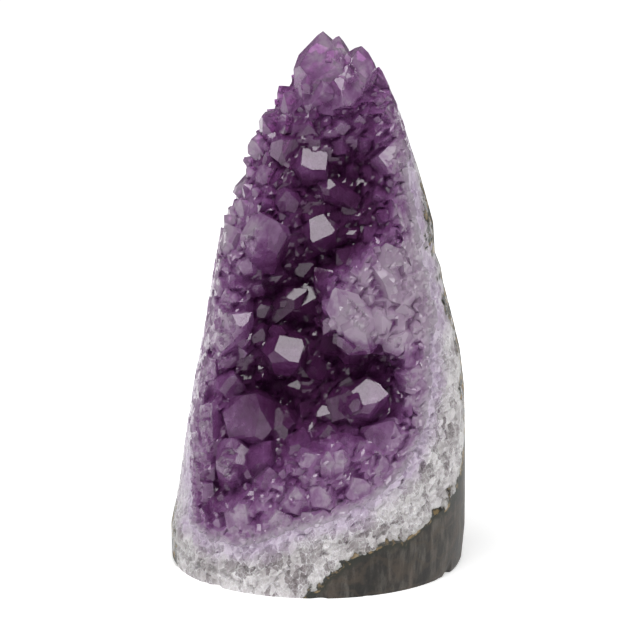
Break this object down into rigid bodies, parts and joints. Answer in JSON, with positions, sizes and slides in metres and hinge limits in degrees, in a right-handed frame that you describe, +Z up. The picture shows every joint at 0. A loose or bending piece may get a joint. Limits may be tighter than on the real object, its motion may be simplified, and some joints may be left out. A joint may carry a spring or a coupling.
{
  "type": "amethyst geode",
  "caption": "Tall piece of an amethyst geode with a flat cut base: dark basalt, a white quartz band and a hollow lined with purple crystals.",
  "frame": {"origin": "middle of the flat base's bounding box, on the surface it stands on", "axes": "+Z up, the hollow of crystals faces -Y, +X to the right as seen from the front"},
  "size_m": [0.0836, 0.0622, 0.15],
  "materials": {
    "basalt": "honed",
    "white_quartz": "ground and polished",
    "amethyst": "natural crystal faces"
  },
  "bodies": {
    "root": {"basalt_matrix": "basalt", "quartz_band": "white_quartz", "amethyst_crust": "amethyst"}
  },
  "joints": []
}
